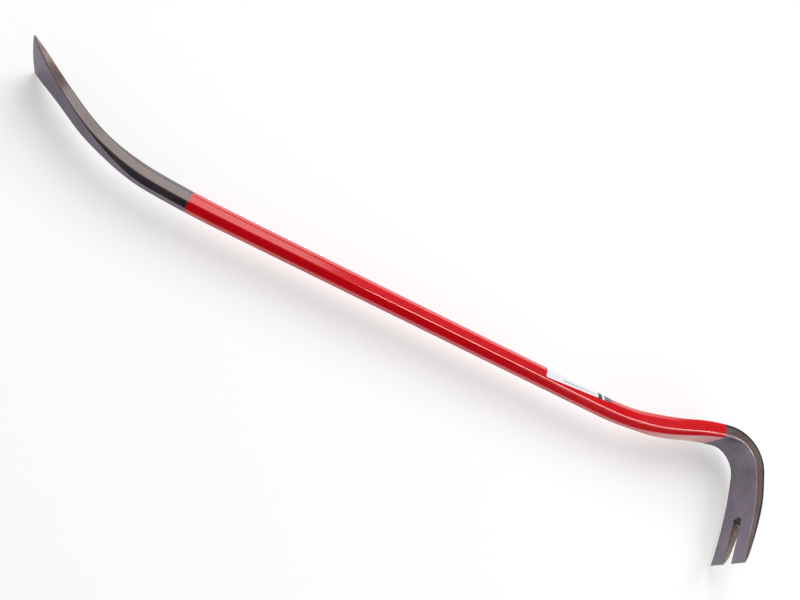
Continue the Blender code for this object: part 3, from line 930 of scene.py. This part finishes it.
# Painted shade in the slot's root crease and painted dark reflection on the chamfers, with some
# scale on the chisel's front ones
scale_and_shade_share = sum_of(tree, attribute(tree, "scale_and_shade"), SCALE_AND_SHADE_COVERS, "MULTIPLY")
tree.links.new(blended(tree, scale_and_shade_share, worn, STEEL_SCALE_AND_SHADE), shader.inputs["Base Color"])
grit = noise(tree, place, GRIT_SCALE, detail=3.0, roughness=0.6)
rough = sum_of(tree, ranged(tree, side, 0.0, 1.0, SKIN_ROUGHNESS, SIDE_ROUGHNESS),
               swing(tree, clouds.outputs[0], 1.0, CLOUDS_ROUGHEN))
tree.links.new(rough, shader.inputs["Roughness"])
forged_bump = relief(tree, grit, GRIT_HEIGHT)
ground_bump = relief(tree, sum_of(tree, lines.outputs[0], side, "MULTIPLY"), LINES_HEIGHT,
                     forged_bump)
worn_bump = relief(tree, scuffs.outputs["Height"], SCUFFS_HEIGHT, ground_bump)
tree.links.new(worn_bump, shader.inputs["Normal"])
forging.data.materials.append(steel)

# The paint: one coat of gloss red enamel, dipped on the grip length between the chisel's
# bend and the gooseneck, with a soft lip where it ends on the steel. The grinding lines of
# the gooseneck's sides show faintly through it.
COAT_LIFT = 0.0001
COAT_DEPTH = 0.0003
COAT_LIP = 0.00035
COAT_ARRIS = 0.0025
COAT_STEP = 0.0022
COAT_MARGIN = 0.001

lip = np.concatenate([[0.0], np.linspace(0.1, 1.0, 6) ** 2 * COAT_LIP])
coat_rows = np.concatenate([COAT_FROM + lip,
                            evenly(COAT_FROM + COAT_MARGIN, COAT_TO - COAT_MARGIN, COAT_STEP),
                            COAT_TO - lip[::-1]])
from_lip = np.clip(np.minimum(coat_rows - COAT_FROM, COAT_TO - coat_rows) / COAT_LIP, 0.0, 1.0)
lift = -COAT_DEPTH + (COAT_LIFT + COAT_DEPTH) * np.sqrt(1.0 - (1.0 - from_lip) ** 2)
outer, coat_kinds = section_points(coat_rows, inset=-lift, arris=COAT_ARRIS)
inner = section_points(coat_rows, inset=COAT_DEPTH + 0.0 * coat_rows, arris=COAT_ARRIS)[0]


def whole_ring(half):
    """The closed outline of each row: the upper half, then the lower half without its ends."""
    return np.concatenate([half, half[:, -2:0:-1] * mirror], axis=1)


outer, inner = whole_ring(outer), whole_ring(inner)
coat_sheet = np.concatenate([outer, inner[::-1]])
coat_sheet = np.concatenate([coat_sheet, coat_sheet[:1]])
coat_sheet = np.concatenate([coat_sheet, coat_sheet[:, :1]], axis=1)
coat_s = np.concatenate([coat_rows, coat_rows[::-1], coat_rows[:1]])
coat_map = np.stack([coat_s[:, None] + 0.0 * coat_sheet[..., 0], run_along(coat_sheet)], axis=-1)
coat_side = np.interp(coat_kinds, [1.0, 1.5, 2.0, 2.5, 3.0], [0.0, 0.6, 1.0, 0.6, 0.0])
coat_side = np.concatenate([coat_side, coat_side[-2:0:-1], coat_side[:1]])
coat = mesh_piece("red_enamel", coat_sheet.reshape(-1, 3) + to_frame,
                  grid_quads(*coat_sheet.shape[:2]), coat_map.reshape(-1, 2),
                  {"ground_side": np.tile(coat_side, len(coat_s))})
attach(coat, "root")
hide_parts("red_paint_coat")

ENAMEL_RED = (0.720, 0.001, 0.008)
ENAMEL_DEEP = (0.480, 0.001, 0.005)
ENAMEL_ROUGHNESS = (0.15, 0.24)
ENAMEL_GLOSS = 0.10
STREAKS_TURN = math.radians(35.0)
SCUFFS_ROUGHEN = 0.2
LINES_DEEPEN = 0.8
ENAMEL_LINES_APART = 0.0032
ENAMEL_LINES_TURN = math.radians(-48.0)
ENAMEL_LINES_FROM, ENAMEL_LINES_TO = COAT_TO - 0.14, COAT_TO - 0.06
PEEL_SCALE = 420.0
PEEL_HEIGHT = 0.00002

enamel, tree, shader = finish_of("red_enamel")
surface_map, along = surface_of(tree)[:2]
shader.inputs["Coat Weight"].default_value = 1.0
shader.inputs["Coat Roughness"].default_value = ENAMEL_GLOSS
shader.inputs["Specular IOR Level"].default_value = 0.04
place = node(tree, "ShaderNodeTexCoord").outputs["Object"]
clouds = placed(tree, cloudy_tone, place, Scale=30.0, Contrast=0.8)
scuffs = placed(tree, handling_marks, surface_map, Scale=700.0, Amount=0.5)
drawn_out = stretched(tree, surface_map, (420.0, 60.0, 1.0), turn=STREAKS_TURN)
streaks = noise(tree, drawn_out, 1.0, detail=2.0)
turned = stretched(tree, surface_map, (1.0, 1.0, 1.0), turn=ENAMEL_LINES_TURN)
lines = placed(tree, grinding_lines, turned, Spacing=ENAMEL_LINES_APART)
lines_show = ranged(tree, along, ENAMEL_LINES_FROM, ENAMEL_LINES_TO, 0.1, 0.9, smooth=True)
shows = sum_of(tree, lines_show, attribute(tree, "ground_side"), "MULTIPLY")
ground_depth = swing(tree, lines.outputs[0], 0.5, shows)
depth = sum_of(tree, ranged(tree, clouds.outputs[0], 0.6, 1.4, 0.1, 0.5),
               sum_of(tree, ground_depth, LINES_DEEPEN, "MULTIPLY"))
tree.links.new(blended(tree, depth, ENAMEL_RED, ENAMEL_DEEP), shader.inputs["Base Color"])
rough = sum_of(tree, ranged(tree, streaks, 0.3, 0.7, *ENAMEL_ROUGHNESS),
               sum_of(tree, scuffs.outputs["Mask"], SCUFFS_ROUGHEN, "MULTIPLY"))
tree.links.new(rough, shader.inputs["Roughness"])
peel = noise(tree, place, PEEL_SCALE, detail=2.0, roughness=0.4)
worn_bump = relief(tree, scuffs.outputs["Height"], SCUFFS_HEIGHT,
                   relief(tree, peel, PEEL_HEIGHT))
tree.links.new(worn_bump, shader.inputs["Normal"])
coat.data.materials.append(enamel)

# The label: a slip of coated white paper glued round the back of the shank, a little
# askew, printed with a thin grey rule and, at its claw end, a dark block and a broad grey
# band. Its creases are low and soft.
LABEL_LENGTH = 0.0690
LABEL_TO_TIPS = 0.2668
LABEL_FROM = SPINE_LENGTH - LABEL_TO_TIPS - LABEL_LENGTH
LABEL_TOP_LAP = 0.0054
LABEL_UNDER_LAP = 0.0010
LABEL_SKEW = 0.0051
LABEL_LIFT = 0.00026
LABEL_THICKNESS = 0.00012
LABEL_CORNER = 0.0018
LABEL_ROWS = 40
LABEL_COLUMNS = 90

corner_rows = np.linspace(0.0, LABEL_CORNER, 9)
straight_rows = np.linspace(LABEL_CORNER, LABEL_LENGTH - LABEL_CORNER, LABEL_ROWS)
label_rows = np.concatenate([corner_rows[:-1], straight_rows,
                             LABEL_LENGTH - corner_rows[-2::-1]])
ring_n, ring_z = half_section(np.array([SHANK_FROM]), inset=-LABEL_LIFT, arris=COAT_ARRIS)[0]
ring = np.stack([ring_n[:, 0], ring_z[:, 0]], axis=-1)
ring = np.concatenate([ring, ring[-2::-1] * (1.0, -1.0)])
ring_run = np.concatenate([[0.0], np.cumsum(np.linalg.norm(np.diff(ring, axis=0), axis=1))])
flat_half = BAR_FLATS * math.tan(math.pi / 8.0) / 2.0
top_corner = ring_run[np.argmin(np.abs(ring[:, 0] - flat_half) + (ring[:, 1] < 0.0))]
under_corner = ring_run[-1] - top_corner
skew = LABEL_SKEW * label_rows / LABEL_LENGTH
pull_in = rounded_off(np.minimum(label_rows, LABEL_LENGTH - label_rows), LABEL_CORNER)
label_top = top_corner - (LABEL_TOP_LAP - skew) + pull_in
label_under = under_corner + (LABEL_UNDER_LAP + skew) - pull_in
share = np.linspace(0.0, 1.0, LABEL_COLUMNS)
label_run = label_top[:, None] + (label_under - label_top)[:, None] * share
label_n = np.interp(label_run, ring_run, ring[:, 0])
label_z = np.interp(label_run, ring_run, ring[:, 1])
label_s = LABEL_FROM + label_rows[:, None] + 0.0 * label_n
label_sheet = on_spine(label_s, label_n, label_z)
label_map = np.stack([label_rows[:, None] + 0.0 * label_n,
                      label_run - (top_corner - LABEL_TOP_LAP + skew)[:, None]], axis=-1)
label = mesh_piece("label", label_sheet.reshape(-1, 3) + to_frame,
                   grid_quads(*label_sheet.shape[:2]), label_map.reshape(-1, 2))
thickness = label.modifiers.new("thickness", "SOLIDIFY")
thickness.thickness = LABEL_THICKNESS
thickness.offset = -1.0
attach(label, "root")
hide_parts("paper_label")

PAPER_WHITE = (0.780, 0.775, 0.820)
PAPER_SHADE = (0.740, 0.740, 0.760)
PRINT_BLACK = (0.018, 0.018, 0.022)
PRINT_GREY = (0.105, 0.105, 0.110)
BLACK_FROM, BLACK_TO = 0.0547, 0.0589
GREY_FROM, GREY_TO = 0.0615, LABEL_LENGTH + 0.001
RULE_FROM, RULE_TO = 0.0175, 0.0532
RULE_AT, RULE_WIDTH = 0.0023, 0.0010
RULE_INK = 0.6
PAPER_ROUGHNESS = (0.32, 0.42)
CREASES_SCALE = 160.0
CREASES_HEIGHT = 0.00006


def between(tree, value, low, high):
    """1 where a value lies between two numbers and 0 elsewhere."""
    above = sum_of(tree, value, low, "GREATER_THAN")
    return sum_of(tree, above, sum_of(tree, value, high, "LESS_THAN"), "MULTIPLY")


paper, tree, shader = finish_of("label_paper")
surface_map, along, round_it = surface_of(tree)
place = node(tree, "ShaderNodeTexCoord").outputs["Object"]
fibres = placed(tree, cloudy_tone, place, Scale=300.0, Contrast=0.05)
black = between(tree, along, BLACK_FROM, BLACK_TO)
grey_band = between(tree, along, GREY_FROM, GREY_TO)
rule = sum_of(tree, between(tree, along, RULE_FROM, RULE_TO),
              between(tree, round_it, RULE_AT, RULE_AT + RULE_WIDTH), "MULTIPLY")
sheet = blended(tree, ranged(tree, fibres.outputs[0], 0.9, 1.1, 0.0, 0.2), PAPER_WHITE,
                PAPER_SHADE)
ruled = blended(tree, sum_of(tree, rule, RULE_INK, "MULTIPLY"), sheet, PRINT_GREY)
banded = blended(tree, grey_band, blended(tree, black, ruled, PRINT_BLACK), PRINT_GREY)
tree.links.new(banded, shader.inputs["Base Color"])
scuffs = placed(tree, handling_marks, surface_map, Scale=800.0, Amount=0.5)
rough = sum_of(tree, ranged(tree, fibres.outputs[0], 0.9, 1.1, *PAPER_ROUGHNESS),
               sum_of(tree, scuffs.outputs["Mask"], SCUFFS_ROUGHEN, "MULTIPLY"))
tree.links.new(rough, shader.inputs["Roughness"])
creases = noise(tree, place, CREASES_SCALE, detail=2.0)
tree.links.new(relief(tree, creases, CREASES_HEIGHT), shader.inputs["Normal"])
label.data.materials.append(paper)
